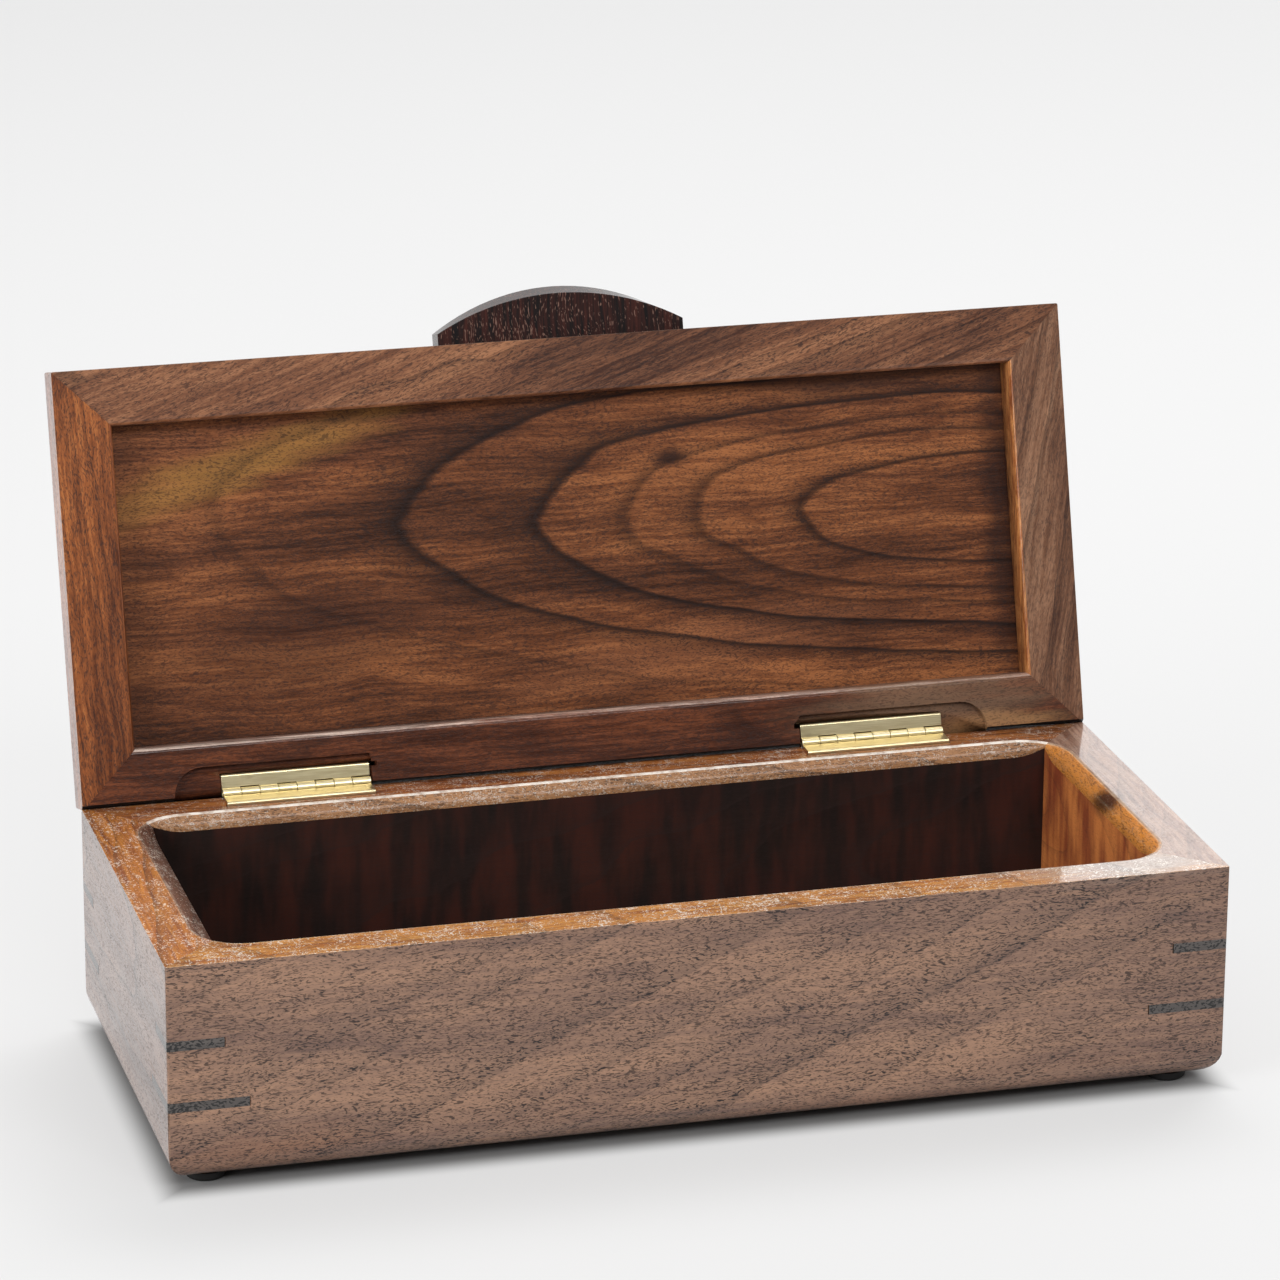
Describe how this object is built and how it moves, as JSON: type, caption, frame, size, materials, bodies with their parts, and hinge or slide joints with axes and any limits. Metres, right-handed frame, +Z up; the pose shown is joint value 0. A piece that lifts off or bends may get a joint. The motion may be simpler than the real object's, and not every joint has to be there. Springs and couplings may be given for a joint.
{
  "type": "watch box",
  "caption": "Low rectangular wooden watch box with mitred, keyed corners, a framed lid with an arched pull, brass hinges, a bevelled lid stop and round feet.",
  "frame": {"origin": "centre of the open box's footprint, on the ground plane that the feet stand on", "axes": "+X along the long side to the right, +Y to the back where the hinges are, +Z up; the lid is open on its stop"},
  "size_m": [0.33, 0.1886, 0.2166],
  "materials": {
    "walnut_case": "satin oiled walnut, open grain",
    "walnut_lid": "satin oiled walnut, open grain",
    "walnut_panel": "satin oiled walnut with bold cathedral figure",
    "base_wood": "satin walnut",
    "key_wood": "satin dark brown-black wood",
    "pull_wood": "satin near-black wood, fine straight grain",
    "brass": "satin",
    "foot_rubber": "matte"
  },
  "bodies": {
    "case": {"front_wall": "walnut_case", "right_wall": "walnut_case", "back_wall": "walnut_case", "left_wall": "walnut_case", "bottom_panel": "base_wood", "corner_key_front_left_upper": "key_wood", "corner_key_front_right_upper": "key_wood", "corner_key_back_left_upper": "key_wood", "corner_key_back_right_upper": "key_wood", "corner_key_front_left_lower": "key_wood", "corner_key_front_right_lower": "key_wood", "corner_key_back_left_lower": "key_wood", "corner_key_back_right_lower": "key_wood", "foot_front_left": "foot_rubber", "foot_front_right": "foot_rubber", "foot_back_left": "foot_rubber", "foot_back_right": "foot_rubber", "left_hinge_case_leaf": "brass", "left_hinge_pin": "brass", "right_hinge_case_leaf": "brass", "right_hinge_pin": "brass"},
    "lid": {"lid_front_rail": "walnut_lid", "lid_right_stile": "walnut_lid", "lid_back_rail": "walnut_lid", "lid_left_stile": "walnut_lid", "lid_panel": "walnut_panel", "lid_pull": "pull_wood", "left_hinge_lid_leaf": "brass", "right_hinge_lid_leaf": "brass"}
  },
  "joints": [
    {"name": "lid_hinge", "type": "hinge", "parent": "case", "child": "lid", "pos_m": [0, 0.04108, 0.07395], "axis": [1, 0, 0], "range_deg": [0, 106]}
  ]
}
